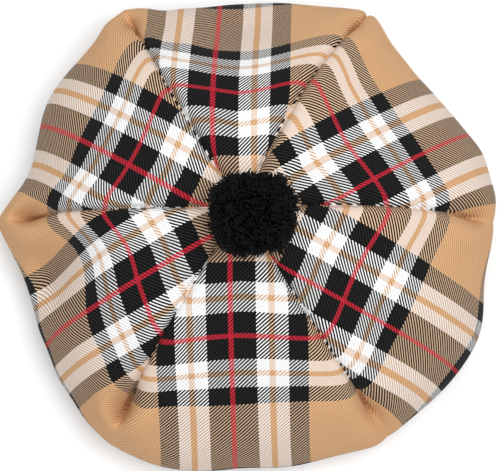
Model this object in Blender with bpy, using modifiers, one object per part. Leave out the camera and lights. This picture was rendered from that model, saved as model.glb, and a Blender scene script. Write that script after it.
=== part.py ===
"""Tam o' shanter: six cloth gores on a plain headband, with a yarn pompom on the crown.

Metres, +Z up. The bonnet stands on its headband at z = 0, and the photograph's near side is -Y.
Each gore is one cloth wall. Its shape comes from the seams on both sides of it, the rim between
them, one cross-section that all gores share, and a few folds.
"""
import math
import random

import bmesh
import bpy
import numpy as np
from mathutils import Vector

# ---------------------------------------------------------------- driving sizes
CLOTH = 0.0015                  # thickness of the woollen cloth
CLEARANCE = 0.0003              # gap between neighbouring pieces
BAND_INNER = 0.0915             # radius of the head opening
BAND_THICKNESS = 0.0025
BAND_HEIGHT = 0.028
BAND_EDGE = 0.0006              # chamfer of the headband's edges
BAND_STEPS = 72

SEAM_ROLL_DEPTH = 0.0030        # how far the cloth rolls down into a seam
SEAM_ROLL_WIDTH = 0.0070
SEAM_MEETING = (-0.006, 0.003)  # where the six seams meet, under the pompom
CROWN_SHIFT = (0.0026, -0.0008)  # the crown lies a little off the headband's centre

POMPOM_CENTRE = (0.0034, -0.0056, 0.1285)
POMPOM_CORE = (0.0198, 0.0178, 0.0185)   # half sizes of the wound core
POMPOM_LOCK = 0.0045            # length of the yarn locks, with their spread below
POMPOM_LOCK_SPREAD = 0.0012
POMPOM_GROOVE = 0.0006          # half width of the grooves between locks
POMPOM_SEAT = 0.1128            # height at which the pompom is flattened on the crown
POMPOM_CUTTER = 0.060           # side of the cube that flattens it
POMPOM_SEED = 7

# Seams, counter-clockwise from the right: direction of the end at the rim in degrees, sideways
# bow on the way there (counter-clockwise positive), place and depth of the pit where the seam
# turns down, height of the puffs beside that pit, the share of the seam's roll that is left past
# it and the depth of the soft valley there. Places are rows of the cross-section.
SEAMS = (
    # name          direction  bow      row    pit     puff    roll   valley
    ("right",          3.0,   0.0015,  4.80,  0.0070,  0.0020,  0.30,  0.0040),
    ("back_right",    62.5,   0.0050,  4.85,  0.0050,  0.0010,  1.00,  0.0000),
    ("back_left",    119.7,   0.0025,  4.90,  0.0090,  0.0025,  0.10,  0.0015),
    ("left",         177.2,   0.0000,  4.45,  0.0120,  0.0030,  0.00,  0.0010),
    ("front_left",   235.5,  -0.0015,  4.38,  0.0120,  0.0030,  0.00,  0.0000),
    ("front_right",  303.5,  -0.0035,  4.57,  0.0070,  0.0015,  0.25,  0.0045),
)
PIT_ROWS = 0.45                 # half sizes of the pits
PIT_WIDTH = 0.0075
PUFF_PAST = 0.35                # the puffs lie this far past the pits, on both sides of a seam
PUFF_ROWS = 0.75
PUFF_PLACE = 0.014
PUFF_WIDTH = 0.0085
VALLEY_PAST = 0.65              # the same for the valleys
VALLEY_ROWS = 1.0
VALLEY_WIDTH = 0.010
AT_SEAM_POWER = 12              # sharpness of the change from a gore's cloth to its seams

# Gores, each from one seam to the next: radius of the rim at five even places from its first
# seam to its last, and how far the middle of its side droops.
GORES = (
    # name          first   quarter middle  3/4     last    droop
    ("back_right",  0.1395, 0.1395, 0.1320, 0.1340, 0.1477, 0.000),
    ("back",        0.1477, 0.1386, 0.1363, 0.1372, 0.1518, 0.000),
    ("back_left",   0.1518, 0.1428, 0.1417, 0.1335, 0.1476, 0.002),
    ("front_left",  0.1476, 0.1340, 0.1338, 0.1390, 0.1454, 0.005),
    ("front",       0.1454, 0.1416, 0.1334, 0.1346, 0.1388, 0.002),
    ("front_right", 0.1388, 0.1382, 0.1408, 0.1350, 0.1395, 0.008),
)
DROOP_ROW = 6.0
DROOP_ROWS = 1.6

# Cross-section of the crown, from under the pompom over the rim to the headband's edge: share of
# the rim's radius, height, and how far the seams lie below the middle of a gore.
SECTION = (
    # share  height  seam_drop
    (0.030, 0.1120, 0.0000),
    (0.180, 0.1110, 0.0010),
    (0.380, 0.1050, 0.0025),
    (0.580, 0.0930, 0.0035),
    (0.770, 0.0755, 0.0030),
    (0.920, 0.0540, 0.0010),
    (1.000, 0.0310, 0.0005),
    (0.975, 0.0175, 0.0005),
    (0.860, 0.0120, 0.0005),
    (0.680, 0.0283, 0.0000),
)
LAST_ROW = len(SECTION) - 1
RIM_ROW = 6
UNDER_ROW = 6.5                 # from here on the plan turns into the headband's circle
END_ROWS = 1.5                  # towards the headband the cloth gets plain over these rows

# Folds and puffs of the cloth: gore, place across it (-1 to 1), place along it (rows of the
# cross-section), half length in rows, half width, and height (negative is a fold inward).
FOLDS = (
    # gore          across  row   rows  width   height
    ("front_left",  -0.42,  4.6,  0.85, 0.020, -0.0200),
    ("front_left",  -0.10,  3.5,  1.1,  0.028,  0.0030),
    ("front_left",   0.30,  4.6,  1.2,  0.024,  0.0025),
    ("front_left",   0.88,  5.2,  0.6,  0.007,  0.0030),
    ("back",         0.76,  4.9,  1.1,  0.009, -0.0060),
    ("back",         0.52,  5.0,  1.2,  0.012,  0.0025),
    ("back",        -0.10,  3.2,  1.2,  0.030,  0.0030),
    ("back",         0.02,  4.5,  1.1,  0.031, -0.0135),
    ("back_left",   -0.55,  4.8,  1.4,  0.020,  0.0035),
    ("back_left",    0.62,  5.0,  1.0,  0.014, -0.0040),
    ("back_right",  -0.10,  5.0,  1.6,  0.040,  0.0020),
    ("front",        0.82,  5.1,  0.6,  0.008, -0.0035),
    ("front",        0.90,  5.7,  0.8,  0.010,  0.0020),
    ("front",        0.00,  2.8,  1.4,  0.040, -0.0020),
    ("front_right",  0.00,  5.4,  1.6,  0.035,  0.0020),
)

CAMEL_WOOL = (0.60, 0.36, 0.20)
BLACK_WOOL = (0.02, 0.02, 0.02)
BLACK_YARN = (0.006, 0.006, 0.006)

GORE_COLUMNS = 14               # cells across a gore, closer together near its seams
GORE_ROWS = 21                  # cells along a gore, with one more for the hem on the headband

BAND_OUTER = BAND_INNER + BAND_THICKNESS
HEM_HEIGHT = BAND_HEIGHT + CLEARANCE
HEM_OUTER = BAND_OUTER + 0.0008
HEM_INNER = BAND_INNER + 0.0004


# ---------------------------------------------------------------- shape of the cloth
def spline(rows, place):
    """Smooth curve through the rows of a table, read at fractional row numbers."""
    rows = np.asarray(rows, float)
    last = len(rows) - 1
    place = np.clip(np.asarray(place, float), 0, last - 1e-9)
    row = place.astype(int)
    part = (place - row)[..., None]
    here, after = rows[row], rows[row + 1]
    before = np.where(part * 0 + row[..., None] == 0, 2 * here - after, rows[np.maximum(row - 1, 0)])
    beyond = np.where(part * 0 + row[..., None] == last - 1, 2 * after - here,
                      rows[np.minimum(row + 2, last)])
    return 0.5 * (2 * here + (after - before) * part
                  + (2 * before - 5 * here + 4 * after - beyond) * part ** 2
                  + (3 * here - before - 3 * after + beyond) * part ** 3)


def ease(x):
    """Smooth step from 0 to 1."""
    x = np.clip(x, 0, 1)
    return x * x * (3 - 2 * x)


def hill(x, half_width):
    """Smooth bump of height 1 at x = 0."""
    return np.exp(-(x / half_width) ** 2)


def at_seam(across):
    """1 at a gore's seams, and nearly 0 over the rest of it."""
    return np.abs(across) ** AT_SEAM_POWER


def seam_direction(number):
    """Direction of a seam at the rim, in radians, counted on past the sixth seam."""
    return math.radians(SEAMS[number % 6][1] + 360 * (number // 6))


def seam_plan(number, share, corner):
    """Plan position of a seam at a share of the rim's radius."""
    direction = seam_direction(number)
    bow = SEAMS[number % 6][2] * np.sin(math.pi * np.clip(share, 0, 1))
    x = corner * share * math.cos(direction) - bow * math.sin(direction)
    y = corner * share * math.sin(direction) + bow * math.cos(direction)
    return np.stack([x + SEAM_MEETING[0] * (1 - share), y + SEAM_MEETING[1] * (1 - share)], -1)


def smooth_form(gore, across, row):
    """Points of a gore without its seam rolls and folds, and its width from seam to seam."""
    share, height, seam_drop = np.moveaxis(spline(SECTION, row), -1, 0)
    rim_radii, droop = GORES[gore][1:6], GORES[gore][6]
    first = seam_plan(gore, share, rim_radii[0])
    last = seam_plan(gore + 1, share, rim_radii[-1])
    width = np.linalg.norm(last - first, axis=-1)
    side = (0.5 + 0.5 * across * (1 - CLEARANCE / width))[..., None]
    plan = first * (1 - side) + last * side
    full = np.ones_like(share)
    chord = (seam_plan(gore, full, rim_radii[0]) * (1 - side)
             + seam_plan(gore + 1, full, rim_radii[-1]) * side)
    rim = spline(np.array(rim_radii)[:, None], (across + 1) * 2)[..., 0]
    bulge = 1 + (rim / np.linalg.norm(chord, axis=-1) - 1) * np.clip(share, 0, 1) ** 2
    plan = plan * bulge[..., None]
    radius = np.linalg.norm(plan, axis=-1)
    under = ease((row - UNDER_ROW) / (LAST_ROW - UNDER_ROW))
    plan = plan * ((radius * (1 - under) + HEM_OUTER * under) / radius)[..., None]
    plan = plan + np.array(CROWN_SHIFT) * (1 - under)[..., None]
    sag = droop * hill(row - DROOP_ROW, DROOP_ROWS) * (1 - across ** 2)
    height = height - seam_drop * np.abs(across) ** 4 - sag * ease((LAST_ROW - row) / END_ROWS)
    return np.concatenate([plan, height[..., None]], -1), width


def upright(gore, across, normal):
    """Unit normals of a gore, which at a seam lie in the seam's own upright plane."""
    seam = np.where(across > 0, seam_direction(gore + 1), seam_direction(gore))
    sideward = np.stack([-np.sin(seam), np.cos(seam), np.zeros_like(seam)], -1)
    normal = normal / np.linalg.norm(normal, axis=-1, keepdims=True)
    lean = (normal * sideward).sum(-1, keepdims=True) * at_seam(across)[..., None]
    normal = normal - lean * sideward
    return normal / np.linalg.norm(normal, axis=-1, keepdims=True)


def gore_surface(gore, across, row):
    """Points of a gore's outer face at places across it (-1 to 1) and rows of the section."""
    points, width = smooth_form(gore, across, row)
    step = 1e-3
    along = (smooth_form(gore, across, np.minimum(row + step, LAST_ROW))[0]
             - smooth_form(gore, across, np.maximum(row - step, 0))[0])
    sideways = smooth_form(gore, across + step, row)[0] - smooth_form(gore, across - step, row)[0]
    normal = upright(gore, across, np.cross(along, sideways))

    from_seam = (1 - np.abs(across)) * width / 2
    ends = ease(row) * ease((LAST_ROW - row) / END_ROWS)
    nearer = np.where((across > 0)[..., None], SEAMS[(gore + 1) % 6][3:], SEAMS[gore][3:])
    pit_row, pit, puff, roll_left, valley = np.moveaxis(nearer, -1, 0)
    past = row - pit_row
    roll = SEAM_ROLL_DEPTH * (1 - (1 - roll_left) * ease(past / PIT_ROWS))
    # rolls and puffs stand square to the cloth, while pits, valleys and folds sink straight down
    lift = -roll * np.clip(1 - from_seam / SEAM_ROLL_WIDTH, 0, 1) ** 2
    lift = lift + puff * hill(from_seam - PUFF_PLACE, PUFF_WIDTH) * hill(past - PUFF_PAST, PUFF_ROWS)
    sink = pit * hill(from_seam, PIT_WIDTH) * hill(past, PIT_ROWS)
    sink = sink + valley * hill(from_seam, VALLEY_WIDTH) * hill(past - VALLEY_PAST, VALLEY_ROWS)
    for name, place, fold_row, rows, fold_width, fold_height in FOLDS:
        if name == GORES[gore][0]:
            fold = hill((across - place) * width / 2, fold_width) * hill(row - fold_row, rows)
            fold = fold * (1 - at_seam(across))
            lift = lift + max(fold_height, 0) * fold
            sink = sink - min(fold_height, 0) * fold
    points = points + normal * (lift * ends)[..., None]
    points[..., 2] -= sink * ends
    return points


# ---------------------------------------------------------------- scene helpers
def clear_scene():
    for item in list(bpy.data.objects):
        bpy.data.objects.remove(item)


def new_collection(name):
    collection = bpy.data.collections.new(name)
    bpy.context.scene.collection.children.link(collection)
    return collection


def cloth_material(name, colour, roughness):
    material = bpy.data.materials.new(name)
    material.use_nodes = True
    shader = material.node_tree.nodes["Principled BSDF"]
    shader.inputs["Base Color"].default_value = (*colour, 1.0)
    shader.inputs["Roughness"].default_value = roughness
    shader.inputs["Metallic"].default_value = 0.0
    return material


def add_object(name, bm, material, collection):
    mesh = bpy.data.meshes.new(name)
    bm.to_mesh(mesh)
    bm.free()
    mesh.shade_smooth()
    mesh.set_sharp_from_angle(angle=math.radians(50))
    mesh.materials.append(material)
    item = bpy.data.objects.new(name, mesh)
    collection.objects.link(item)
    return item


# ---------------------------------------------------------------- the pieces
def make_gore(gore, material, collection):
    """One crown panel: a grid on the gore's outer face, another on its inner face, and edges."""
    turn = np.linspace(0, math.pi, GORE_COLUMNS + 1)
    across, row = np.meshgrid(-np.cos(turn), np.linspace(0, LAST_ROW, GORE_ROWS + 1))
    outer = gore_surface(gore, across, row)
    hem = outer[-1:].copy()
    hem[..., :2] *= (HEM_INNER / np.linalg.norm(hem[..., :2], axis=-1))[..., None]
    hem[..., 2] = HEM_HEIGHT
    outer = np.concatenate([outer, hem])
    normal = np.cross(np.gradient(outer, axis=0), np.gradient(outer, axis=1))
    inner = outer - CLOTH * upright(gore, np.concatenate([across, across[-1:]]), normal)

    bm = bmesh.new()
    faces = [[[bm.verts.new(point) for point in line] for line in face] for face in (outer, inner)]
    for face in faces:
        for line, following in zip(face, face[1:]):
            for step in range(GORE_COLUMNS):
                bm.faces.new((line[step], following[step], following[step + 1], line[step + 1]))
    edges = [outline(face) for face in faces]
    for step in range(len(edges[0])):
        bm.faces.new((edges[0][step - 1], edges[0][step], edges[1][step], edges[1][step - 1]))
    bmesh.ops.recalc_face_normals(bm, faces=bm.faces)
    return add_object("gore_" + GORES[gore][0], bm, material, collection)


def outline(face):
    """The points around a grid, in order."""
    first = [line[0] for line in face]
    last = [line[-1] for line in face]
    return face[0][:-1] + last[:-1] + face[-1][:0:-1] + first[:0:-1]


def make_headband(material, collection):
    """Ring of cloth around the head opening, with its edges chamfered."""
    profile = (
        (BAND_OUTER - BAND_EDGE, BAND_HEIGHT),
        (BAND_OUTER, BAND_HEIGHT - BAND_EDGE),
        (BAND_OUTER, BAND_EDGE),
        (BAND_OUTER - BAND_EDGE, 0.0),
        (BAND_INNER + BAND_EDGE, 0.0),
        (BAND_INNER, BAND_EDGE),
        (BAND_INNER, BAND_HEIGHT - BAND_EDGE),
        (BAND_INNER + BAND_EDGE, BAND_HEIGHT),
    )
    bm = bmesh.new()
    verts = [bm.verts.new((radius, 0.0, height)) for radius, height in profile]
    for one, other in zip(verts, verts[1:] + verts[:1]):
        bm.edges.new((one, other))
    item = add_object("headband", bm, material, collection)
    turn = item.modifiers.new("turn", "SCREW")
    turn.angle = math.tau
    turn.steps = BAND_STEPS
    turn.render_steps = BAND_STEPS
    turn.use_merge_vertices = True
    turn.merge_threshold = 0.0001
    return item


def make_pompom(material, collection, cutters):
    """Wound core whose every facet is drawn out into a lock, flattened where it is sewn on."""
    chance = random.Random(POMPOM_SEED)
    bm = bmesh.new()
    bmesh.ops.create_icosphere(bm, subdivisions=3, radius=1.0)
    for vert in bm.verts:
        vert.co = Vector(POMPOM_CENTRE) + vert.co * Vector(POMPOM_CORE)
    bm.normal_update()
    locks = bm.faces[:]
    bmesh.ops.inset_individual(bm, faces=locks, thickness=POMPOM_GROOVE, depth=0.0)
    bm.normal_update()
    for face in locks:
        out = (face.calc_center_median() - Vector(POMPOM_CENTRE)).normalized()
        reach = POMPOM_LOCK + chance.uniform(-POMPOM_LOCK_SPREAD, POMPOM_LOCK_SPREAD)
        for vert in face.verts:
            vert.co += out * reach
    item = add_object("pompom", bm, material, collection)

    bm = bmesh.new()
    bmesh.ops.create_cube(bm, size=POMPOM_CUTTER)
    for vert in bm.verts:
        vert.co += Vector((POMPOM_CENTRE[0], POMPOM_CENTRE[1], POMPOM_SEAT - POMPOM_CUTTER / 2))
    cutter = add_object("pompom_seat_cutter", bm, material, cutters)
    cutter.hide_render = True
    cutter.display_type = "WIRE"
    flat = item.modifiers.new("seat", "BOOLEAN")
    flat.operation = "DIFFERENCE"
    flat.object = cutter
    return item


def main():
    clear_scene()
    parts = new_collection("tam_o_shanter")
    cutters = new_collection("cutters")
    camel = cloth_material("checked_wool_camel", CAMEL_WOOL, 0.9)
    dark = cloth_material("checked_wool_black", BLACK_WOOL, 0.9)
    yarn = cloth_material("black_yarn", BLACK_YARN, 0.95)
    for gore in range(len(GORES)):
        make_gore(gore, camel, parts)
    make_headband(dark, parts)
    make_pompom(yarn, parts, cutters)


main()
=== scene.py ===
"""Looks of the tam o' shanter: a darted crown of checked woollen twill, a headband and a pompom.

Metres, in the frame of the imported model. The crown is one strip of cloth with six darts, joined
at the back right. Its form repeats the functions and tables that the solids were made from, on a
finer grid and with finer folds.
"""
import math

import bmesh
import bpy
import numpy as np
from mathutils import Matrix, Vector


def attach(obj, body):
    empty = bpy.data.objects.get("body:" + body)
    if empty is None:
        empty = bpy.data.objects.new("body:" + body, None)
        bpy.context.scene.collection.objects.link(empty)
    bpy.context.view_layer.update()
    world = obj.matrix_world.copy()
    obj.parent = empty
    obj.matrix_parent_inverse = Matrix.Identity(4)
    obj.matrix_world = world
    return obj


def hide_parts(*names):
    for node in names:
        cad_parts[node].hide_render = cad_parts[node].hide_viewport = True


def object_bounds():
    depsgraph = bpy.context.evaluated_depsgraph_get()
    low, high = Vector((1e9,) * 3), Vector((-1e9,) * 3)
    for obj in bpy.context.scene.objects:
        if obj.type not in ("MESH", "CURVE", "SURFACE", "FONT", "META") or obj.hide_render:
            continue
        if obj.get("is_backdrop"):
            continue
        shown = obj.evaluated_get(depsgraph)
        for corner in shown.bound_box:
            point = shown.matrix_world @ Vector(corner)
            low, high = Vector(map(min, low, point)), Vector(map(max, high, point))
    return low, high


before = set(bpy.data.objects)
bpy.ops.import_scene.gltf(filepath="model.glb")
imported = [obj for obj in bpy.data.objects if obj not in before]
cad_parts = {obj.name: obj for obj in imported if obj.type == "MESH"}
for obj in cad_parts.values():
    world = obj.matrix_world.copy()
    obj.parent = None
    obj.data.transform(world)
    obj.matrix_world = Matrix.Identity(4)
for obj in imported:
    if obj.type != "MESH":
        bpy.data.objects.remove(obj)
CAD_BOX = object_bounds()

# ---------------------------------------------------------------- driving sizes
CLOTH = 0.0015                  # thickness of the woollen cloth
CLEARANCE = 0.00005             # gap between neighbouring pieces
BAND_INNER = 0.0915             # radius of the head opening
BAND_THICKNESS = 0.0025
BAND_HEIGHT = 0.028

SEAM_ROLL_DEPTH = 0.0030        # how far the cloth rolls down into a seam
SEAM_ROLL_WIDTH = 0.0070
SEAM_MEETING = (-0.006, 0.003)  # where the six seams meet, under the pompom
CROWN_SHIFT = (0.0026, -0.0008)  # the crown lies a little off the headband's centre

POMPOM_CENTRE = (0.0034, -0.0056, 0.1285)      # of the solid pompom
POMPOM_SEAT = 0.1128            # height at which the pompom is flattened on the crown

# Seams, counter-clockwise from the right: direction of the end at the rim in degrees, sideways
# bow on the way there (counter-clockwise positive), place and depth of the pit where the seam
# turns down, height of the puffs beside that pit, the share of the seam's roll that is left past
# it and the depth of the soft valley there. Places are rows of the cross-section.
SEAMS = (
    # name          direction  bow      row    pit     puff    roll   valley
    ("right",          3.0,   0.0015,  4.80,  0.0070,  0.0020,  0.30,  0.0040),
    ("back_right",    62.5,   0.0050,  4.85,  0.0050,  0.0010,  1.00,  0.0000),
    ("back_left",    119.7,   0.0025,  4.90,  0.0090,  0.0025,  0.10,  0.0015),
    ("left",         177.2,   0.0000,  4.45,  0.0120,  0.0030,  0.00,  0.0010),
    ("front_left",   235.5,  -0.0015,  4.38,  0.0120,  0.0030,  0.00,  0.0000),
    ("front_right",  303.5,  -0.0035,  4.57,  0.0070,  0.0015,  0.25,  0.0045),
)
PIT_ROWS = 0.45                 # half sizes of the pits
PIT_WIDTH = 0.0075
PUFF_PAST = 0.35                # rows by which the puffs lie past the pits
PUFF_ROWS = 0.75
PUFF_PLACE = 0.014              # their distance from the seam, on both sides of it
PUFF_WIDTH = 0.0085
VALLEY_PAST = 0.65              # rows by which the valleys lie past the pits
VALLEY_ROWS = 1.0
VALLEY_WIDTH = 0.010
AT_SEAM_POWER = 12              # sharpness of the change from a gore's cloth to its seams

# Gores, each from one seam to the next: radius of the rim at five even places from its first
# seam to its last, and how far the middle of its side droops.
GORES = (
    # name          first   quarter middle  3/4     last    droop
    ("back_right",  0.1395, 0.1395, 0.1320, 0.1340, 0.1477, 0.000),
    ("back",        0.1477, 0.1386, 0.1363, 0.1372, 0.1518, 0.000),
    ("back_left",   0.1518, 0.1428, 0.1417, 0.1335, 0.1476, 0.002),
    ("front_left",  0.1476, 0.1340, 0.1338, 0.1390, 0.1454, 0.005),
    ("front",       0.1454, 0.1416, 0.1334, 0.1346, 0.1388, 0.002),
    ("front_right", 0.1388, 0.1382, 0.1408, 0.1350, 0.1395, 0.008),
)
DROOP_ROW = 6.0
DROOP_ROWS = 1.6

# Cross-section of the crown, from under the pompom over the rim to the headband's edge: share of
# the rim's radius, height, and how far the seams lie below the middle of a gore.
SECTION = (
    # share  height  seam_drop
    (0.030, 0.1120, 0.0000),
    (0.180, 0.1110, 0.0010),
    (0.380, 0.1050, 0.0025),
    (0.580, 0.0930, 0.0035),
    (0.770, 0.0755, 0.0030),
    (0.920, 0.0540, 0.0010),
    (1.000, 0.0310, 0.0005),
    (0.975, 0.0175, 0.0005),
    (0.860, 0.0120, 0.0005),
    (0.680, 0.0283, 0.0000),
)
LAST_ROW = len(SECTION) - 1
RIM_ROW = 6
UNDER_ROW = 6.5                 # from here on the plan turns into the headband's circle
END_ROWS = 1.5                  # towards the headband the cloth gets plain over these rows

# Folds and puffs of the cloth: gore, place across it (-1 to 1), place along it (rows of the
# cross-section), half length in rows, half width, and height (negative is a fold inward).
FOLDS = (
    # gore          across  row   rows  width   height
    ("front_left",  -0.42,  4.6,  0.85, 0.020, -0.0200),
    ("front_left",  -0.10,  3.5,  1.1,  0.028,  0.0030),
    ("front_left",   0.30,  4.6,  1.2,  0.024,  0.0025),
    ("front_left",   0.88,  5.2,  0.6,  0.007,  0.0030),
    ("back",         0.76,  4.9,  1.1,  0.009, -0.0060),
    ("back",         0.52,  5.0,  1.2,  0.012,  0.0025),
    ("back",        -0.10,  3.2,  1.2,  0.030,  0.0030),
    ("back",         0.02,  4.5,  1.1,  0.031, -0.0135),
    ("back_left",   -0.55,  4.8,  1.4,  0.020,  0.0035),
    ("back_left",    0.62,  5.0,  1.0,  0.014, -0.0040),
    ("back_right",  -0.10,  5.0,  1.6,  0.040,  0.0020),
    ("front",        0.82,  5.1,  0.6,  0.008, -0.0035),
    ("front",        0.90,  5.7,  0.8,  0.010,  0.0020),
    ("front",        0.00,  2.8,  1.4,  0.040, -0.0020),
    ("front_right",  0.00,  5.4,  1.6,  0.035,  0.0020),
)

BAND_OUTER = BAND_INNER + BAND_THICKNESS
HEM_HEIGHT = BAND_HEIGHT + CLEARANCE
HEM_OUTER = BAND_OUTER + 0.0008  # the crown's hem stands a little proud of the band outside,
HEM_INNER = BAND_INNER + 0.0004  # and its edge stays a little back from the opening

# ---------------------------------------------------------------- sizes of the fine surface
GORE_COLUMNS = 64
GORE_ROWS = 120
COLUMN_CROWDING = 0.7           # how strongly the columns crowd towards a gore's seams
PATTERN_COLUMNS = 24            # cells of the coarse grid on which the cloth is laid flat
PATTERN_ROWS = 45
PATTERN_ROUNDS = 900            # rounds of evening out its distances
PATTERN_EAGERNESS = 1.5         # share of the move asked for that each round makes
SHEAR_HOLD = 0.5                # stiffness across a cell's corners; along the threads it is 1
JOIN_SEAM = 1                   # here the strip's two ends meet; the other seams are darts
WHOLE_ROWS = (5.0, 7.2)         # between these rows of the section the darts' cloth is whole
# The cut edges of a seam run on the bias, and sewing stretches them outwards: by this much at
# each seam, as far to both sides, and in full from this row on
BIAS_PULLS = (0.006, 0.010, 0.010, 0.006, 0.006, 0.006)
BIAS_REACH = 0.022
BIAS_ROWS = 4.0
# Where folds and the slack of the rim draw the woven rows towards the crown's middle: direction
# from the middle, row of the section, half sizes in rows and degrees, and the pull
PULLS = (
    # degrees  row   rows  reach  pull
    (91.0,     4.6,  2.0,  20.0,  0.0110),
    (194.0,    4.3,  1.5,  13.0,  0.0130),
    (222.0,    6.4,  1.0,  20.0,  0.0070),
)
CREASE_DEPTH = 0.0009           # the sewn edges turn in sharply, most of all where a dart ends
CREASE_WIDTH = 0.0019
CREASE_END = 0.0022             # how much deeper it is there
CREASE_ROWS = 0.40
DART_STOP = 0.40                # rows over which a dart's crease comes to its end
# Finer dents that run on past the darts' ends, each at a seam: sideways place (counter-clockwise
# positive), rows past the pit, half length in rows, half width and depth
DENTS = (
    # seam  aside    past  rows   width   depth
    (0,     0.0000,  0.30, 0.35,  0.0045, 0.0040),
    (1,     0.0000,  0.20, 0.25,  0.0040, 0.0020),
    (2,     0.0015,  0.25, 0.35,  0.0045, 0.0045),
    (3,     0.0000,  0.25, 0.40,  0.0042, 0.0080),
    (4,     0.0010,  0.25, 0.35,  0.0036, 0.0080),
    (5,     0.0000,  0.30, 0.40,  0.0045, 0.0040),
    (5,     0.0000,  0.85, 0.50,  0.0070, 0.0045),
)
ROUND_SEAM = 4                  # past this dart's end the rim runs on without a corner
ROUND_REACH = 0.018             # how far to both sides it is rounded off
ROUND_ROWS = (4.9, 8.3)         # between these rows of the section
ROUND_FADE = 0.6                # rows over which the rounding begins and ends
ROUND_PASSES = 90               # rounds of evening out the rim's radius
PUCKER_DEPTH = 0.00035          # ripples that the stitches pull into the cloth beside a seam
PUCKER_PITCH = 0.0085
PUCKER_START = 0.0020
PUCKER_REACH = 0.010
PUCKER_WANDER = 1.3             # unevenness of their spacing, and the length that it goes with
WANDER_LENGTH = 0.021
PUCKER_SWELL = 0.4              # unevenness of their depth
SWELL_LENGTH = 0.033
PUCKER_PHASE = 1.7              # steps from seam to seam, so that no two seams look alike
SWELL_PHASE = 2.1
# Slow unevenness of the cloth: wave length, direction of the waves and depth
WAVES = (
    # pitch   x      y      z      depth
    (0.043,  0.80,  0.45,  0.40,  0.00035),
    (0.029, -0.35,  0.85,  0.40,  0.00022),
    (0.020,  0.55, -0.60,  0.58,  0.00012),
)

# ---------------------------------------------------------------- the checked cloth
THREAD = 0.00057                # distance between neighbouring threads
TWILL_REPEAT = 4.0              # threads after which the weave repeats
TWILL_FLOAT = 2.0               # threads that a thread passes over at a time
# Half of the mirrored stripe order, from the middle of the dark bar: stripe end and colour
SETT = (
    (0.00125, "red"),
    (0.01350, "black"),
    (0.02050, "white"),
    (0.02400, "camel"),
    (0.03100, "white"),
    (0.04200, "black"),
    (0.06900, "camel"),
)
WOOL = {
    "camel": (0.665, 0.382, 0.190),
    "black": (0.0026, 0.0024, 0.0024),
    "white": (0.91, 0.91, 0.91),
    "red": (0.47, 0.012, 0.030),
}
LIGHT_FROM = 0.2                # grey level above which a yarn is a light one
RED_FROM = 0.35                 # a red yarn's red is above its green by more than this
LIGHT_BLUR = 0.55               # how far light yarns blur into each other
FLOAT_SLANT = 0.85              # how far the floats' ends slant, so that they line up in ribs
DARK_WIDER = 0.36               # threads by which a dark float is longer than a light one
PALE = 0.34                     # how much paler a camel yarn looks beside a dark one
PALE_YARN = (1.0, 0.87, 0.72)   # the colour that it comes closer to
# Where dark bars lie on the crown's flat strip: along it, and out from the crown's middle
CHECK_ALONG = 0.014
CHECK_OUT = 0.073
BAND_CHECK_ALONG = 0.012        # the same on the headband
BAND_CHECK_OUT = 0.020

FIBRE_SCALE = 2200.0            # fine mottling of every thread by its fibres
FIBRE_DETAIL = 2.0
FIBRE_MOTTLE = 0.22
DYE_SCALE = 60.0                # slow unevenness of the dye
DYE_DETAIL = 3.0
DYE_MOTTLE = 0.08
MOTTLE_BASE = 0.80              # tone where fibres and dye are darkest
PAINTED_THREAD_SHADE = 0.16             # painted shade: a thread is this much lighter along its middle than at its sides
THREAD_BASE = 0.87
# painted light and shade: the twill's ribs are lighter along their crests and darker between them
RIB_PHASE = 0.75 * math.pi      # the ribs lie along the middles of the warp's floats
RIB_BASE = 0.97
RIB_DARK = 0.10                 # depth of the ribs' painted light and shade where a yarn is dark
RIB_LIGHT = 0.20                # how much deeper it is between light yarns
RIB_FADE = 0.18                 # and how much of that goes as they get whiter
GLINT = 0.034                   # light caught by loose fibres
FIBRE_RELIEF = 0.5              # height of the fibres in the relief, in parts of a thread's
RELIEF_STRENGTH = 0.55
RELIEF_DEPTH = 0.00012
WOOL_ROUGHNESS = 0.80
DYE_ROUGHNESS = 0.14
WOOL_SPECULAR = 0.12
WOOL_SHEEN = 0.025

# ---------------------------------------------------------------- sizes of the fine headband
BAND_EDGE = 0.0011              # radius of its rounded edges
BAND_EDGE_STEPS = 6
BAND_STEPS = 288                # steps around it
WELD_DISTANCE = 1e-6            # points closer than this become one

# ---------------------------------------------------------------- pompom
POMPOM_RADII = (0.0251, 0.0235, 0.0232)    # of the ball of yarn
YARN_SHIFT = (-0.0011, 0.0015, 0.0)    # the yarn leans a little aside
YARN_CENTRE = np.array(POMPOM_CENTRE) + YARN_SHIFT
POMPOM_CORNERS = 0.0011         # the ball is a little square from above
CORNER_DIRECTION = math.radians(48)
POMPOM_SEED = 11
YARN_ENDS = 1750
YARN_LENGTH = 0.0080            # how far below the ball's surface the ends start
YARN_PLIES = 3
YARN_ASTRAY = 0.03              # unevenness of the ends' and tufts' directions
YARN_UNEVEN = 0.0005            # spread of the ends' lengths within a tuft
TUFTS = 310                     # neighbouring ends lean together in tufts
TUFT_UNEVEN = 0.0011            # spread of the tufts' lengths
TUFT_DRAWN = 0.34               # how closely a tuft's ends lean together
TUFT_ROUND = 0.07               # how much shorter the ends get off a tuft's middle
PLY_RADIUS = 0.00048
PLY_SIDES = 4
PLY_RINGS = (0.8, 1.0, 1.0, 1.0, 1.0, 0.7)    # thickness of a ply towards its cut end
PLY_TWIST = 2.6                 # turn of the plies around each other, in radians
PLY_TRIM = (0.90, 1.02)         # shortest and longest ply, as shares of the yarn's length
PLY_SPREAD = 0.00085            # how far the plies of a yarn part towards the cut
PLY_CURL = 0.0023               # how far a ply's cut end curls aside
PLY_CURL_SHARE = (0.3, 1.5)     # least and most of that
PLY_CURL_TURN = 1.2             # turn of the curl, in radians
PLY_CURL_SHORTENS = 0.35        # how much a curl draws the ply back
SIDE_GUIDE = (0.31, 0.52, 0.79)    # gives each yarn its sideways direction
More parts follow.
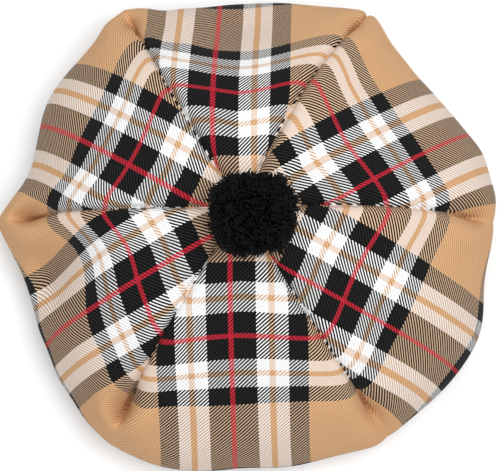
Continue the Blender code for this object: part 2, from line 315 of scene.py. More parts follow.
YARN_CLEARANCE = 3 * PLY_RADIUS    # of the ends above the seat
CORE_SHARE = 0.74               # size of the dark core in the ball
CORE_FINENESS = 4               # Blender's subdivisions of the core
CORE_CLEARANCE = 0.0002         # of the core above the seat

YARN_BLACK = (0.0005, 0.0005, 0.0006)
YARN_PAINTED_LIGHT = (0.0235, 0.0235, 0.0241)
YARN_PAINTED_LIGHT_REACH = (0.80, 1.04)   # between these shares of the ball's radius the yarn gets lighter: painted light on the outer ends, painted shade deeper in
YARN_FIBRE_SCALE = 1800.0
YARN_FIBRE_DETAIL = 3.0
YARN_CLUMP_SCALE = 260.0
YARN_CLUMP_DETAIL = 2.0
YARN_RELIEF_STRENGTH = 0.7
YARN_RELIEF_DEPTH = 0.0002
YARN_ROUGHNESS = 0.60
YARN_SPECULAR = 0.10

# ---------------------------------------------------------------- picture
CAMERA_ELEVATION = 82.0
CAMERA_DISTANCE = 1.1
CAMERA_TARGET = (0.0009, 0.0, 0.033)
CAMERA_RAISE = -0.0022          # picture's middle above the target, in the picture's own up
PICTURE_WIDTH = 0.2865          # metres that the picture's width spans at the target
CAMERA_SENSOR = 36.0            # millimetres
CAMERA_CLIP = 0.05
SURROUNDINGS = 0.38             # strength of the white surroundings
LIGHT_AIM = (0, 0, 0.04)
LIGHTS = (
    # name   place                  size  power
    ("key",  (0.38, -0.12, 1.35),   1.0,  13.2),
    ("fill", (-0.65, -0.25, 1.25),  1.4,   5.2),
    ("back", (0.00, 0.90, 1.10),    1.2,   3.5),
)
FLOOR_REACH = 3.0               # half of the floor's side
FLOOR_WHITE = (0.97, 0.97, 0.97)
FLOOR_ROUGHNESS = 0.9


# ---------------------------------------------------------------- shape of the cloth
def spline(rows, place):
    """Smooth curve through the rows of a table, read at fractional row numbers."""
    rows = np.asarray(rows, float)
    last = len(rows) - 1
    place = np.clip(np.asarray(place, float), 0, last - 1e-9)
    row = place.astype(int)
    part = (place - row)[..., None]
    here, after = rows[row], rows[row + 1]
    before = np.where(part * 0 + row[..., None] == 0, 2 * here - after, rows[np.maximum(row - 1, 0)])
    beyond = np.where(part * 0 + row[..., None] == last - 1, 2 * after - here,
                      rows[np.minimum(row + 2, last)])
    return 0.5 * (2 * here + (after - before) * part
                  + (2 * before - 5 * here + 4 * after - beyond) * part ** 2
                  + (3 * here - before - 3 * after + beyond) * part ** 3)


def ease(x):
    """Smooth step from 0 to 1."""
    x = np.clip(x, 0, 1)
    return x * x * (3 - 2 * x)


def hill(x, half_width):
    """Smooth bump of height 1 at x = 0."""
    return np.exp(-(x / half_width) ** 2)


def at_seam(across):
    """1 at a gore's seams, and nearly 0 over the rest of it."""
    return np.abs(across) ** AT_SEAM_POWER


def seam_direction(number):
    """Direction of a seam at the rim, in radians, counted on past the sixth seam."""
    turns, seam = divmod(number, len(SEAMS))
    return math.radians(SEAMS[seam][1] + 360 * turns)


def seam_plan(number, share, corner):
    """Plan position of a seam at a share of the rim's radius."""
    direction = seam_direction(number)
    bow = SEAMS[number % len(SEAMS)][2] * np.sin(math.pi * np.clip(share, 0, 1))
    x = corner * share * math.cos(direction) - bow * math.sin(direction)
    y = corner * share * math.sin(direction) + bow * math.cos(direction)
    return np.stack([x + SEAM_MEETING[0] * (1 - share), y + SEAM_MEETING[1] * (1 - share)], -1)


def smooth_form(gore, across, row):
    """Points of a gore without its seam rolls and folds, and its width from seam to seam."""
    share, height, seam_drop = np.moveaxis(spline(SECTION, row), -1, 0)
    rim_radii, droop = GORES[gore][1:6], GORES[gore][6]
    first = seam_plan(gore, share, rim_radii[0])
    last = seam_plan(gore + 1, share, rim_radii[-1])
    width = np.linalg.norm(last - first, axis=-1)
    side = (0.5 + 0.5 * across * (1 - CLEARANCE / width))[..., None]
    plan = first * (1 - side) + last * side
    full = np.ones_like(share)
    chord = (seam_plan(gore, full, rim_radii[0]) * (1 - side)
             + seam_plan(gore + 1, full, rim_radii[-1]) * side)
    rim = spline(np.array(rim_radii)[:, None], (across + 1) * 2)[..., 0]
    bulge = 1 + (rim / np.linalg.norm(chord, axis=-1) - 1) * np.clip(share, 0, 1) ** 2
    plan = plan * bulge[..., None]
    radius = np.linalg.norm(plan, axis=-1)
    under = ease((row - UNDER_ROW) / (LAST_ROW - UNDER_ROW))
    plan = plan * ((radius * (1 - under) + HEM_OUTER * under) / radius)[..., None]
    plan = plan + np.array(CROWN_SHIFT) * (1 - under)[..., None]
    sag = droop * hill(row - DROOP_ROW, DROOP_ROWS) * (1 - across ** 2)
    height = height - seam_drop * np.abs(across) ** 4 - sag * ease((LAST_ROW - row) / END_ROWS)
    return np.concatenate([plan, height[..., None]], -1), width


def upright(gore, across, normal):
    """Unit normals of a gore, which at a seam lie in the seam's own upright plane."""
    seam = np.where(across > 0, seam_direction(gore + 1), seam_direction(gore))
    sideward = np.stack([-np.sin(seam), np.cos(seam), np.zeros_like(seam)], -1)
    normal = normal / np.linalg.norm(normal, axis=-1, keepdims=True)
    lean = (normal * sideward).sum(-1, keepdims=True) * at_seam(across)[..., None]
    normal = normal - lean * sideward
    return normal / np.linalg.norm(normal, axis=-1, keepdims=True)


def gore_surface(gore, across, row):
    """Points of a gore's outer face at places across it (-1 to 1) and rows of the section."""
    points, width = smooth_form(gore, across, row)
    step = 1e-3
    along = (smooth_form(gore, across, np.minimum(row + step, LAST_ROW))[0]
             - smooth_form(gore, across, np.maximum(row - step, 0))[0])
    sideways = smooth_form(gore, across + step, row)[0] - smooth_form(gore, across - step, row)[0]
    normal = upright(gore, across, np.cross(along, sideways))

    from_seam = (1 - np.abs(across)) * width / 2
    ends = ease(row) * ease((LAST_ROW - row) / END_ROWS)
    following = SEAMS[(gore + 1) % len(SEAMS)]
    nearer = np.where((across > 0)[..., None], following[3:], SEAMS[gore][3:])
    pit_row, pit, puff, roll_left, valley = np.moveaxis(nearer, -1, 0)
    past = row - pit_row
    roll = SEAM_ROLL_DEPTH * (1 - (1 - roll_left) * ease(past / PIT_ROWS))
    # rolls and puffs stand square to the cloth, while pits, valleys and folds sink straight down
    lift = -roll * np.clip(1 - from_seam / SEAM_ROLL_WIDTH, 0, 1) ** 2
    lift = lift + puff * hill(from_seam - PUFF_PLACE, PUFF_WIDTH) * hill(past - PUFF_PAST, PUFF_ROWS)
    sink = pit * hill(from_seam, PIT_WIDTH) * hill(past, PIT_ROWS)
    sink = sink + valley * hill(from_seam, VALLEY_WIDTH) * hill(past - VALLEY_PAST, VALLEY_ROWS)
    for name, place, fold_row, rows, fold_width, fold_height in FOLDS:
        if name == GORES[gore][0]:
            fold = hill((across - place) * width / 2, fold_width) * hill(row - fold_row, rows)
            fold = fold * (1 - at_seam(across))
            lift = lift + max(fold_height, 0) * fold
            sink = sink - min(fold_height, 0) * fold
    points = points + normal * (lift * ends)[..., None]
    points[..., 2] -= sink * ends
    return points


# ---------------------------------------------------------------- fine surface
def grid_places(columns, rows):
    """Places across a gore, closer together near its seams, and rows along it."""
    even = np.linspace(-1, 1, columns + 1)
    crowded = np.sin(math.pi / 2 * even)
    across = (1 - COLUMN_CROWDING) * even + COLUMN_CROWDING * crowded
    return np.meshgrid(across, np.linspace(0, LAST_ROW, rows + 1))


def nearer_seam(gore, points, across):
    """Number of the seam that each point of a gore's grid is nearer to, and its distance."""
    width = np.linalg.norm(points[:, -1] - points[:, 0], axis=-1)[:, None]
    seam = np.where(across > 0, gore + 1, gore) % len(SEAMS)
    return seam, (1 - np.abs(across)) * width / 2


def past_pit(seam, row):
    """Rows by which a place lies past the pit of its seam."""
    return row - np.array([pit_row for _, _, _, pit_row, *_ in SEAMS])[seam]


def sewing(gore, points, across, row):
    """Height of the crease and ripples beside a gore's seams, as far as the seams are sewn."""
    seam, from_seam = nearer_seam(gore, points, across)
    length = np.linalg.norm(np.diff(points, axis=0, prepend=points[:1]), axis=-1).cumsum(axis=0)
    wander = PUCKER_WANDER * np.sin(length / WANDER_LENGTH + seam)
    wave = np.sin(math.tau * length / PUCKER_PITCH + PUCKER_PHASE * seam + wander)
    swell = 1 - PUCKER_SWELL + PUCKER_SWELL * np.sin(length / SWELL_LENGTH + SWELL_PHASE * seam)
    near = np.clip(1 - from_seam / PUCKER_REACH, 0, 1) * np.clip(from_seam / PUCKER_START, 0, 1)
    past = past_pit(seam, row)
    sewn = np.maximum(1 - ease(past / DART_STOP), seam == JOIN_SEAM)
    depth = CREASE_DEPTH + CREASE_END * hill(past, CREASE_ROWS)
    crease = depth * np.clip(1 - from_seam / CREASE_WIDTH, 0, 1) ** 2 * ease(row)
    return (PUCKER_DEPTH * wave * swell * near - crease) * sewn


def dents(gore, points, across, row):
    """Depth of the dents past the ends of a gore's darts."""
    seam, from_seam = nearer_seam(gore, points, across)
    aside = np.where(across > 0, -from_seam, from_seam)
    past = past_pit(seam, row)
    depth = np.zeros_like(row)
    for number, dent_aside, dent_past, rows, dent_width, dent_depth in DENTS:
        dent = hill(aside - dent_aside, dent_width) * hill(past - dent_past, rows)
        depth = depth + np.where(seam == number, dent_depth * dent, 0)
    return depth


def side_by_side(panels):
    """Grids of all gores side by side, with each seam's column once."""
    return np.concatenate([panel[:, :-1] for panel in panels], axis=1)


def round_corner(points, row):
    """Points of the crown with the corner that its rim has at one seam rounded off."""
    # the two gores beside the seam come first, with the seam between them
    turn = (1 - ROUND_SEAM) * GORE_COLUMNS
    points = np.roll(points, turn, axis=1)
    patch = points[:, :2 * GORE_COLUMNS + 1]
    start = np.linalg.norm(patch[..., :2], axis=-1)
    steps = np.linalg.norm(np.diff(patch[..., :2], axis=1), axis=-1)
    run = np.concatenate([0 * steps[:, :1], steps.cumsum(axis=1)], axis=1)
    weight = hill(run - run[:, GORE_COLUMNS:GORE_COLUMNS + 1], ROUND_REACH)
    begins = ease((row - ROUND_ROWS[0]) / ROUND_FADE)
    ends = ease((ROUND_ROWS[1] - row) / ROUND_FADE)
    weight = weight * (begins * ends)[:, :1]
    # each point's radius comes closer to the straight line between its neighbours'
    share = steps[:, :-1] / (steps[:, :-1] + steps[:, 1:])
    radius = start.copy()
    for _ in range(ROUND_PASSES):
        middle = radius[:, :-2] * (1 - share) + radius[:, 2:] * share
        radius[:, 1:-1] += weight[:, 1:-1] * (middle - radius[:, 1:-1])
    patch[..., :2] *= (radius / start)[..., None]
    return np.roll(points, -turn, axis=1)


def crown_surface():
    """Outer face of the crown, closed at its seams, with the fine unevenness of the cloth."""
    across, row = grid_places(GORE_COLUMNS, GORE_ROWS)
    panels = [gore_surface(gore, across, row) for gore in range(len(GORES))]
    points = side_by_side(panels)
    for gore, panel in enumerate(panels):
        points[:, gore * GORE_COLUMNS] = (panel[:, 0] + panels[gore - 1][:, -1]) / 2
    points = round_corner(points, row)
    around = np.roll(points, -1, axis=1) - np.roll(points, 1, axis=1)
    normal = np.cross(np.gradient(points, axis=0), around)
    normal /= np.linalg.norm(normal, axis=-1, keepdims=True)
    lift = side_by_side([sewing(gore, panel, across, row) for gore, panel in enumerate(panels)])
    for pitch, x, y, z, depth in WAVES:
        lift = lift + depth * np.sin(math.tau * (points @ np.array((x, y, z))) / pitch)
    ends = (ease(row) * ease((LAST_ROW - row) / END_ROWS))[:, :1]
    points = points + normal * (lift * ends)[..., None]
    sink = side_by_side([dents(gore, panel, across, row) for gore, panel in enumerate(panels)])
    points[..., 2] -= sink
    return points


# ---------------------------------------------------------------- the cloth laid flat
def lay_flat(points, whole):
    """Flat positions of grids of points, side by side as one strip with darts.

    Every short distance is kept, as in weaving. In the rows of whole the grids hang together.
    """
    middle = points.shape[2] // 2
    step_across = np.linalg.norm(np.diff(points, axis=2), axis=-1)
    run = np.concatenate([np.zeros_like(step_across[..., :1]), step_across.cumsum(axis=-1)], axis=-1)
    step_out = np.linalg.norm(np.diff(points[:, :, middle], axis=1), axis=-1)
    fall = np.linalg.norm(points[:, :1, middle, :2], axis=-1)
    fall = np.concatenate([fall, fall + step_out.cumsum(axis=-1)], axis=1)
    flat = np.stack([run - run[..., middle:middle + 1], np.broadcast_to(fall[..., None], run.shape)], -1)
    for gore in range(1, len(flat)):
        flat[gore] += (flat[gore - 1, whole, -1] - flat[gore, whole, 0]).mean(axis=0) * (1, 0)

    every = slice(None)
    lower, upper = slice(None, -1), slice(1, None)
    pairs = (
        # one end               other end               stiffness
        ((every, every, lower), (every, every, upper), 1.0),
        ((every, lower, every), (every, upper, every), 1.0),
        ((every, lower, lower), (every, upper, upper), SHEAR_HOLD),
        ((every, lower, upper), (every, upper, lower), SHEAR_HOLD),
    )
    lengths = [np.linalg.norm(points[b] - points[a], axis=-1) for a, b, _ in pairs]
    total = np.zeros(run.shape + (1,))
    for a, b, hold in pairs:
        total[a] += hold
        total[b] += hold
    for _ in range(PATTERN_ROUNDS):
        push = np.zeros_like(flat)
        for (a, b, hold), length in zip(pairs, lengths):
            gap = flat[b] - flat[a]
            size = np.maximum(np.linalg.norm(gap, axis=-1), 1e-9)
            move = 0.5 * hold * gap * ((size - length) / size)[..., None]
            push[a] += move
            push[b] -= move
        flat += PATTERN_EAGERNESS * push / total
        seam = (flat[:-1, whole, -1] + flat[1:, whole, 0]) / 2
        flat[:-1, whole, -1] = seam
        flat[1:, whole, 0] = seam
    # level the strip, and measure it out from the crown's middle
    rim = points.shape[1] * RIM_ROW // LAST_ROW
    line = flat[-1, rim, middle] - flat[0, rim, middle]
    line /= np.linalg.norm(line)
    flat = np.stack([flat @ line, flat @ np.array((-line[1], line[0]))], -1)
    flat[..., 1] += (fall[:, rim] - flat[:, rim, middle, 1]).mean()
    return flat


def refine(table, rows, columns):
    """Smooth values between the points of a coarse grid."""
    tall = spline(table.reshape(len(table), -1), np.linspace(0, len(table) - 1, rows + 1))
    tall = tall.reshape(rows + 1, table.shape[1], -1)
    wide = spline(tall.transpose(1, 0, 2).reshape(table.shape[1], -1),
                  np.linspace(0, table.shape[1] - 1, columns + 1))
    return wide.reshape(columns + 1, rows + 1, -1).transpose(1, 0, 2)


def strip_patterns():
    """Flat positions of each gore's fine grid, in the order of the gores."""
    places = grid_places(PATTERN_COLUMNS, PATTERN_ROWS)
    order = [(JOIN_SEAM + step) % len(GORES) for step in range(len(GORES))]
    points = np.array([gore_surface(gore, *places) for gore in order])
    first, last = [round(row * PATTERN_ROWS / LAST_ROW) for row in WHOLE_ROWS]
    flat = lay_flat(points, slice(first, last + 1))
    across, row = places
    for gore, grid, pattern in zip(order, points, flat):
        seam, from_seam = nearer_seam(gore, grid, across)
        bias = np.array(BIAS_PULLS)[seam]
        pattern[..., 1] -= bias * hill(from_seam, BIAS_REACH) * ease(row / BIAS_ROWS)
        bearing = np.degrees(np.arctan2(grid[..., 1], grid[..., 0])) % 360
        for degrees, pull_row, rows, reach, pull in PULLS:
            pattern[..., 1] += pull * hill(bearing - degrees, reach) * hill(row - pull_row, rows)
    patterns = [None] * len(GORES)
    for gore, pattern in zip(order, flat):
        patterns[gore] = refine(pattern, GORE_ROWS, GORE_COLUMNS)
    return patterns


# ---------------------------------------------------------------- mesh helpers
def grid_mesh(name, points, patterns=(), close=False):
    """Mesh of a grid of points; the flat positions of its panels are the UV map cloth."""
    rows, columns, _ = points.shape
    index = np.arange(rows * columns).reshape(rows, columns)
    if close:
        index = np.concatenate([index, index[:, :1]], axis=1)
    quads = np.stack([index[:-1, :-1], index[1:, :-1], index[1:, 1:], index[:-1, 1:]], -1)
    mesh = bpy.data.meshes.new(name)
    mesh.from_pydata(points.reshape(-1, 3).tolist(), [], quads.reshape(-1, 4).tolist())
    if patterns:
        corners = [np.stack([flat[:-1, :-1], flat[1:, :-1], flat[1:, 1:], flat[:-1, 1:]], 2)
                   for flat in patterns]
        layer = mesh.uv_layers.new(name="cloth")
        layer.data.foreach_set("uv", np.concatenate(corners, axis=1).astype(np.float32).ravel())
    mesh.shade_smooth()
    return mesh


def mark_seams(mesh, columns):
    """Sharp edges along the seams, as far as they are sewn."""
    ends = np.empty(len(mesh.edges) * 2, int)
    mesh.edges.foreach_get("vertices", ends)
    row, column = np.divmod(ends.reshape(-1, 2), columns)
    along = (column[:, 0] == column[:, 1]) & (column[:, 0] % GORE_COLUMNS == 0)
    sewn = row.max(axis=1) <= WHOLE_ROWS[0] * GORE_ROWS / LAST_ROW
    joined = column[:, 0] == JOIN_SEAM * GORE_COLUMNS
    mesh.edges.foreach_set("use_edge_sharp", along & (sewn | joined))


def add_piece(name, mesh, material):
    """Object of a mesh in one material, on the hat's only body."""
    mesh.materials.append(material)
    piece = bpy.data.objects.new(name, mesh)
    bpy.context.scene.collection.objects.link(piece)
    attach(piece, "root")
    return piece


# ---------------------------------------------------------------- materials
class Output:
    """Output of a node. Sums and comparisons of numbers with it add Math nodes."""

    def __init__(self, nodes, socket):
        self.nodes = nodes
        self.socket = socket

    def __add__(self, other):
        return self.nodes.math("ADD", self, other)

    def __radd__(self, other):
        return self.nodes.math("ADD", other, self)

    def __sub__(self, other):
        return self.nodes.math("SUBTRACT", self, other)

    def __rsub__(self, other):
        return self.nodes.math("SUBTRACT", other, self)

    def __mul__(self, other):
        return self.nodes.math("MULTIPLY", self, other)

    def __truediv__(self, other):
        return self.nodes.math("DIVIDE", self, other)

    def __mod__(self, other):
        return self.nodes.math("FLOORED_MODULO", self, other)

    def __lt__(self, other):
        return self.nodes.math("LESS_THAN", self, other)

    def __gt__(self, other):
        return self.nodes.math("GREATER_THAN", self, other)


class Nodes:
    """A new material, and short calls for building its node tree."""

    def __init__(self, name):
        self.material = bpy.data.materials.new(name)
        self.material.use_nodes = True
        self.tree = self.material.node_tree
        self.shader = self.tree.nodes["Principled BSDF"]

    def feed(self, node, inputs):
        """Puts numbers, colours or outputs of other nodes into a node's inputs."""
        for key, value in inputs.items():
            if isinstance(value, Output):
                self.tree.links.new(value.socket, node.inputs[key])
            else:
                node.inputs[key].default_value = value

    def add(self, kind, inputs, **settings):
        """New node of a kind, set and fed."""
        node = self.tree.nodes.new(kind)
        for key, value in settings.items():
            setattr(node, key, value)
        self.feed(node, inputs)
        return node

    def output(self, kind, key, inputs, **settings):
        """One output of a new node."""
        return Output(self, self.add(kind, inputs, **settings).outputs[key])

    def math(self, operation, *values):
        return self.output("ShaderNodeMath", 0, dict(enumerate(values)), operation=operation)

    def mix(self, factor, one, other, blend="MIX"):
        """Two colours mixed: inputs 6 and 7 and output 2 of a Mix node."""
        return self.output("ShaderNodeMix", 2, {0: factor, 6: one, 7: other},
                           data_type="RGBA", blend_type=blend)

    def split(self, kind, whole):
        """The three parts of a vector or colour."""
        return [Output(self, socket) for socket in self.add(kind, {0: whole}).outputs]

    def brightness(self, colour):
        return self.output("ShaderNodeRGBToBW", 0, {0: colour})

    def grey(self, value):
        """Colour with the same value in red, green and blue."""
        return self.output("ShaderNodeCombineColor", 0, {0: value, 1: value, 2: value})

    def noise(self, place, scale, detail):
        return self.output("ShaderNodeTexNoise", "Fac",
                           {"Vector": place, "Scale": scale, "Detail": detail})

    def bump(self, height, strength, distance):
        return self.output("ShaderNodeBump", "Normal",
                           {"Height": height, "Strength": strength, "Distance": distance})


def sett_colour(nodes, place):
    """Colour of the thread at a distance from the middle of a dark bar."""
    half = SETT[-1][0]
    ramp = nodes.add("ShaderNodeValToRGB", {"Fac": nodes.math("PINGPONG", place, half) / half})
    ramp.color_ramp.interpolation = "CONSTANT"
    stops = ramp.color_ramp.elements
    stops.remove(stops[1])
    start = 0.0
    for end, colour in SETT:
        stop = stops.new(start) if start else stops[0]
        stop.color = (*WOOL[colour], 1.0)
        start = end / half
    return Output(nodes, ramp.outputs["Color"])


def is_light(nodes, colour):
    """1 where a colour is light, 0 where it is dark."""
    return nodes.brightness(colour) > LIGHT_FROM


def is_red(nodes, colour):
    """1 where a colour is red, else 0."""
    red, green, _ = nodes.split("ShaderNodeSeparateColor", colour)
    return red - green > RED_FROM


def paler(nodes, colour, amount):
    """Colour of a yarn beside a dark one, made paler as far as it isn't white."""
    _, _, blue = nodes.split("ShaderNodeSeparateColor", colour)
    return nodes.mix(amount * ((1.0 - blue) * PALE), colour, (*PALE_YARN, 1.0))


def roundness(nodes, place):
    """Height of a round thread: 1 along its middle, 0 at its sides."""
    off_middle = nodes.math("FRACT", place) - 0.5
    return 1.0 - off_middle * off_middle * 4.0


def twill_material(name, dark_along, dark_out):
    """Two-and-two twill woven from striped threads, placed by the UV map cloth.

    A dark bar lies at dark_along on the strip's length, and one at dark_out on its width.
    """
    nodes = Nodes(name)
    cloth = nodes.output("ShaderNodeUVMap", "UV", {}, uv_map="cloth")
    along, out, _ = nodes.split("ShaderNodeSeparateXYZ", cloth)
    warp_place = (along - dark_along) / THREAD
    weft_place = (out - dark_out) / THREAD
    warp_number = nodes.math("FLOOR", warp_place)
    weft_number = nodes.math("FLOOR", weft_place)
    warp = sett_colour(nodes, warp_number * THREAD)
    weft = sett_colour(nodes, weft_number * THREAD)
    warp_light = is_light(nodes, warp)
    weft_light = is_light(nodes, weft)
    both_light = warp_light * weft_light

    # which thread lies on top: red floats over three threads, the rest over two, and dark ones
    # a little longer
    number = warp_number + weft_number
    place_in_float = warp_place + weft_place - number
    turn = (number + 0.5 + (place_in_float - 1.0) * FLOAT_SLANT) % TWILL_REPEAT
    reds = is_red(nodes, warp) - is_red(nodes, weft)
    warp_over = turn < TWILL_FLOAT + reds + (weft_light - warp_light) * DARK_WIDER

    # light yarns blur into each other, while a dark one beside a light one stays crisp
    warp = paler(nodes, warp, warp_light - both_light)
    weft = paler(nodes, weft, weft_light - both_light)
    crispness = 1.0 - both_light * LIGHT_BLUR
    yarn = nodes.mix(0.5 + (warp_over - 0.5) * crispness, weft, warp)

    # the cloth's own uneven tone from fibres and dye, then painted shade at the sides of the round
    # threads and painted light and shade along the ribs of the twill
    fibres = nodes.noise(cloth, FIBRE_SCALE, FIBRE_DETAIL)
    dye = nodes.noise(cloth, DYE_SCALE, DYE_DETAIL)
    height = (warp_over * roundness(nodes, warp_place)
              + (1.0 - warp_over) * roundness(nodes, weft_place))
    painted_rib_light = nodes.math("COSINE", (warp_place + weft_place) * (math.tau / TWILL_REPEAT) - RIB_PHASE)
    painted_rib_depth = RIB_DARK + both_light * (RIB_LIGHT - nodes.brightness(yarn) * RIB_FADE)
    mottle_and_painted_shade = fibres * FIBRE_MOTTLE + dye * DYE_MOTTLE + MOTTLE_BASE
    mottle_and_painted_shade = mottle_and_painted_shade * (THREAD_BASE + height * PAINTED_THREAD_SHADE)
    mottle_and_painted_shade = mottle_and_painted_shade * (RIB_BASE + painted_rib_light * painted_rib_depth)
    colour = nodes.mix(1.0, yarn, nodes.grey(mottle_and_painted_shade), "MULTIPLY")
    # fibres that catch the light along the ribs show on the dark yarns
    glint = nodes.math("MAXIMUM", painted_rib_light, 0.0) * (fibres * GLINT)
    colour = nodes.mix(1.0, colour, nodes.grey(glint), "ADD")

    nodes.feed(nodes.shader, {
        "Base Color": colour,
        "Roughness": WOOL_ROUGHNESS + dye * DYE_ROUGHNESS,
        "Specular IOR Level": WOOL_SPECULAR,
        "Sheen Weight": WOOL_SHEEN,
        "Normal": nodes.bump(height + fibres * FIBRE_RELIEF, RELIEF_STRENGTH, RELIEF_DEPTH),
    })
    return nodes.material


def yarn_material():
    """Matte black wool yarn, with painted light making the cut ends lighter and painted shade making it
    darker deeper in the ball.
    """
    nodes = Nodes("black_yarn")
    place = nodes.output("ShaderNodeTexCoord", "Object", {})
    fibres = nodes.noise(place, YARN_FIBRE_SCALE, YARN_FIBRE_DETAIL)
    clumps = nodes.noise(place, YARN_CLUMP_SCALE, YARN_CLUMP_DETAIL)
    from_middle = nodes.output("ShaderNodeVectorMath", "Value", {0: place, 1: tuple(YARN_CENTRE)},
                               operation="DISTANCE")
    # painted light and shade: lighter out towards the cut ends, darker deeper in the ball
    tip = nodes.output("ShaderNodeMapRange", "Result", {
        "Value": from_middle,
        "From Min": YARN_PAINTED_LIGHT_REACH[0] * POMPOM_RADII[1],
        "From Max": YARN_PAINTED_LIGHT_REACH[1] * POMPOM_RADII[1],
    })
    nodes.feed(nodes.shader, {
        "Base Color": nodes.mix(fibres * clumps * tip, (*YARN_BLACK, 1.0), (*YARN_PAINTED_LIGHT, 1.0)),
        "Roughness": YARN_ROUGHNESS,
        "Specular IOR Level": YARN_SPECULAR,
        "Normal": nodes.bump(fibres, YARN_RELIEF_STRENGTH, YARN_RELIEF_DEPTH),
    })
    return nodes.material


def floor_material():
    """Matte near-white."""
    nodes = Nodes("floor_white")
    nodes.feed(nodes.shader, {
        "Base Color": (*FLOOR_WHITE, 1.0),
        "Roughness": FLOOR_ROUGHNESS,
        "Specular IOR Level": 0.0,
    })
    return nodes.material


# ---------------------------------------------------------------- pieces
def make_crown():
    """One strip of cloth, darted up to the pompom and sewn to the headband."""
    points = crown_surface()
    hem = points[-1:].copy()
    hem[..., :2] *= (HEM_INNER / np.linalg.norm(hem[..., :2], axis=-1))[..., None]
    hem[..., 2] = HEM_HEIGHT
    points = np.concatenate([points, hem])
    patterns = [np.concatenate([flat, flat[-1:] + (0, HEM_OUTER - HEM_INNER)])
                for flat in strip_patterns()]
    mesh = grid_mesh("cloth_crown", points, patterns, close=True)
    mark_seams(mesh, points.shape[1])
    piece = add_piece("cloth_crown", mesh, twill_material("checked_wool", CHECK_ALONG, CHECK_OUT))
    wall = piece.modifiers.new("wall", "SOLIDIFY")
    wall.thickness = CLOTH
    wall.offset = -1.0
    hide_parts(*["gore_" + gore[0] for gore in GORES])


def band_profile():
    """Closed outline of the band's cross-section, as radii and heights."""
    high = BAND_HEIGHT - BAND_EDGE
    outer = BAND_OUTER - BAND_EDGE
    inner = BAND_INNER + BAND_EDGE
    edges = (
        # radius height     from   to degrees
        (outer,  high,       90,     0),
        (outer,  BAND_EDGE,   0,   -90),
        (inner,  BAND_EDGE, -90,  -180),
        (inner,  high,      180,    90),
    )
    profile = []
    for radius, height, start, end in edges:
        for step in range(BAND_EDGE_STEPS + 1):
            angle = math.radians(start + (end - start) * step / BAND_EDGE_STEPS)
            profile.append((radius + BAND_EDGE * math.cos(angle), height + BAND_EDGE * math.sin(angle)))
    return np.array(profile + profile[:1])


def make_headband():
    """Folded band of the same cloth, seamed at the back."""
    profile = band_profile()
    length = np.concatenate([[0], np.linalg.norm(np.diff(profile, axis=0), axis=-1).cumsum()])
    around = np.linspace(0, math.tau, BAND_STEPS + 1) + math.pi / 2
    around, length = np.meshgrid(around, length)
    radius, height = profile[:, :1], profile[:, 1:] + 0 * around
    points = np.stack([radius * np.cos(around), radius * np.sin(around), height], -1)
    mesh = grid_mesh("cloth_headband", points, [np.stack([around * BAND_OUTER, length], -1)])
    welded = bmesh.new()
    welded.from_mesh(mesh)
    bmesh.ops.remove_doubles(welded, verts=welded.verts, dist=WELD_DISTANCE)
    welded.to_mesh(mesh)
    welded.free()
    material = twill_material("band_wool", BAND_CHECK_ALONG, BAND_CHECK_OUT)
    piece = add_piece("cloth_headband", mesh, material)
    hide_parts("headband")


def sphere_places(count):
    """Evenly spread directions on a sphere."""
    number = np.arange(count)
    z = 1 - 2 * (number + 0.5) / count
    angle = number * math.pi * (3 - math.sqrt(5))
    radius = np.sqrt(1 - z * z)
    return np.stack([radius * np.cos(angle), radius * np.sin(angle), z], -1)


def yarn_ends(chance):
    """Foot and tip of each cut yarn end. Neighbouring tips are drawn together in tufts."""
    radii = np.array(POMPOM_RADII)
    tufts = sphere_places(TUFTS)
    tufts = tufts + chance.normal(0, YARN_ASTRAY, tufts.shape)
    tufts /= np.linalg.norm(tufts, axis=1, keepdims=True)
    tuft_reach = chance.normal(0, TUFT_UNEVEN, TUFTS)
    for out in sphere_places(YARN_ENDS):
        out = out + chance.normal(0, YARN_ASTRAY, 3)
        out /= np.linalg.norm(out)
        tuft = int(np.argmax(tufts @ out))
        drawn = out + TUFT_DRAWN * (tufts[tuft] - out)
        drawn /= np.linalg.norm(drawn)
        apart = math.acos(min(1.0, float(tufts[tuft] @ out)))
        reach = tuft_reach[tuft] + chance.normal(0, YARN_UNEVEN) - TUFT_ROUND * apart ** 2
        direction = math.atan2(out[1], out[0]) - CORNER_DIRECTION
        reach += POMPOM_CORNERS * math.cos(4 * direction) * (1 - out[2] ** 2)
        foot = YARN_CENTRE + out * radii * (1 - YARN_LENGTH / radii.mean())
        tip = YARN_CENTRE + drawn * radii * (1 + reach / radii.mean())
        if min(tip[2], foot[2]) >= POMPOM_SEAT + YARN_CLEARANCE:
            yield foot, tip


def plies(foot, tip, chance):
    """Plies of one cut yarn, as rings of points. They twist, part at the cut and curl aside."""
    length = np.linalg.norm(tip - foot)
    out = (tip - foot) / length
    side = np.cross(out, SIDE_GUIDE)
    side /= np.linalg.norm(side)
    other = np.cross(out, side)
    corner = (np.arange(PLY_SIDES) / PLY_SIDES * math.tau)[:, None]
    outline = np.cos(corner) * side + np.sin(corner) * other
    start = chance.uniform(0, math.tau)
    for ply in range(YARN_PLIES):
        trim = chance.uniform(*PLY_TRIM)
        bend = chance.uniform(0, math.tau)
        curl = PLY_CURL * chance.uniform(*PLY_CURL_SHARE)
        rings = []
        for number, thickness in enumerate(PLY_RINGS):
            t = number / (len(PLY_RINGS) - 1)
            angle = start + math.tau * ply / YARN_PLIES + PLY_TWIST * t
            spread = PLY_RADIUS + PLY_SPREAD * t ** 2
            hook = curl * t ** 3
            aside = bend + PLY_CURL_TURN * t
            centre = (foot + out * (length * t * trim - PLY_CURL_SHORTENS * hook)
                      + side * (spread * math.cos(angle) + hook * math.cos(aside))
                      + other * (spread * math.sin(angle) + hook * math.sin(aside)))
            rings.append(centre + PLY_RADIUS * thickness * outline)
        yield np.array(rings)


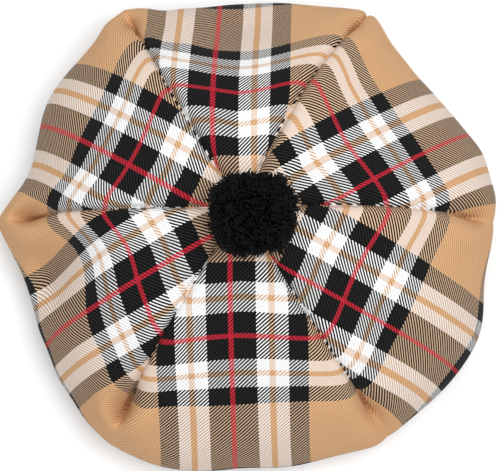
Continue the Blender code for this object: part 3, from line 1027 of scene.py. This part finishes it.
def tube_faces(first, count, sides):
    """Faces of a closed tube of rings of points, whose first point has the number first."""
    faces = []
    for ring in range(count - 1):
        for corner in range(sides):
            one = first + ring * sides + corner
            two = first + ring * sides + (corner + 1) % sides
            faces.append((one, two, two + sides, one + sides))
    faces.append([first + (count - 1) * sides + corner for corner in range(sides)])
    faces.append([first + corner for corner in reversed(range(sides))])
    return faces


def add_core(mesh):
    """Adds the dark core that shows between the yarn ends."""
    core = bmesh.new()
    bmesh.ops.create_icosphere(core, subdivisions=CORE_FINENESS, radius=1.0)
    for vert in core.verts:
        vert.co = Vector(YARN_CENTRE) + vert.co * Vector(POMPOM_RADII) * CORE_SHARE
        vert.co.z = max(vert.co.z, POMPOM_SEAT + CORE_CLEARANCE)
    core.from_mesh(mesh)
    core.to_mesh(mesh)
    core.free()


def make_pompom():
    """Ball of cut yarn ends around a dark core, flattened where it is sewn on."""
    chance = np.random.default_rng(POMPOM_SEED)
    points, faces = [], []
    for foot, tip in yarn_ends(chance):
        for rings in plies(foot, tip, chance):
            faces.extend(tube_faces(len(points), *rings.shape[:2]))
            points.extend(rings.reshape(-1, 3).tolist())
    mesh = bpy.data.meshes.new("yarn_pompom")
    mesh.from_pydata(points, [], faces)
    add_core(mesh)
    mesh.shade_smooth()
    piece = add_piece("yarn_pompom", mesh, yarn_material())
    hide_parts("pompom")


# ---------------------------------------------------------------- picture
def make_floor():
    """Plain pale floor that the hat rests on."""
    mesh = bpy.data.meshes.new("floor")
    corners = [(x * FLOOR_REACH, y * FLOOR_REACH, 0) for x, y in ((-1, -1), (1, -1), (1, 1), (-1, 1))]
    mesh.from_pydata(corners, [], [(0, 1, 2, 3)])
    mesh.materials.append(floor_material())
    floor = bpy.data.objects.new("floor", mesh)
    bpy.context.scene.collection.objects.link(floor)
    floor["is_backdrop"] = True


def turn_to(item, direction):
    """Turns a light or camera to look in a direction, upright."""
    item.rotation_euler = direction.to_track_quat("-Z", "Y").to_euler()


def make_lights():
    """Soft white surroundings and three large round lights."""
    world = bpy.data.worlds.new("studio")
    bpy.context.scene.world = world
    world.use_nodes = True
    background = world.node_tree.nodes["Background"]
    background.inputs["Color"].default_value = (1.0, 1.0, 1.0, 1.0)
    background.inputs["Strength"].default_value = SURROUNDINGS
    for name, place, size, power in LIGHTS:
        light = bpy.data.lights.new(name, "AREA")
        light.shape = "DISK"
        light.size = size
        light.energy = power
        item = bpy.data.objects.new(name, light)
        bpy.context.scene.collection.objects.link(item)
        item.location = place
        turn_to(item, Vector(LIGHT_AIM) - Vector(place))


def make_camera():
    """Camera at the photograph's angle, with its frame around the hat."""
    camera = bpy.data.cameras.new("camera")
    item = bpy.data.objects.new("camera", camera)
    bpy.context.scene.collection.objects.link(item)
    elevation = math.radians(CAMERA_ELEVATION)
    forward = Vector((0, math.cos(elevation), -math.sin(elevation)))
    up = Vector((1, 0, 0)).cross(forward)
    item.location = Vector(CAMERA_TARGET) + up * CAMERA_RAISE - forward * CAMERA_DISTANCE
    turn_to(item, forward)
    camera.sensor_width = CAMERA_SENSOR
    camera.lens = camera.sensor_width * CAMERA_DISTANCE / PICTURE_WIDTH
    camera.clip_start = CAMERA_CLIP
    bpy.context.scene.camera = item
    bpy.context.scene.view_settings.view_transform = "Standard"


make_crown()
make_headband()
make_pompom()
make_floor()
make_lights()
make_camera()

bpy.context.view_layer.update()
plain = lambda box: [list(map(float, corner)) for corner in box]
{"cad": plain(CAD_BOX), "visual": plain(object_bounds())}
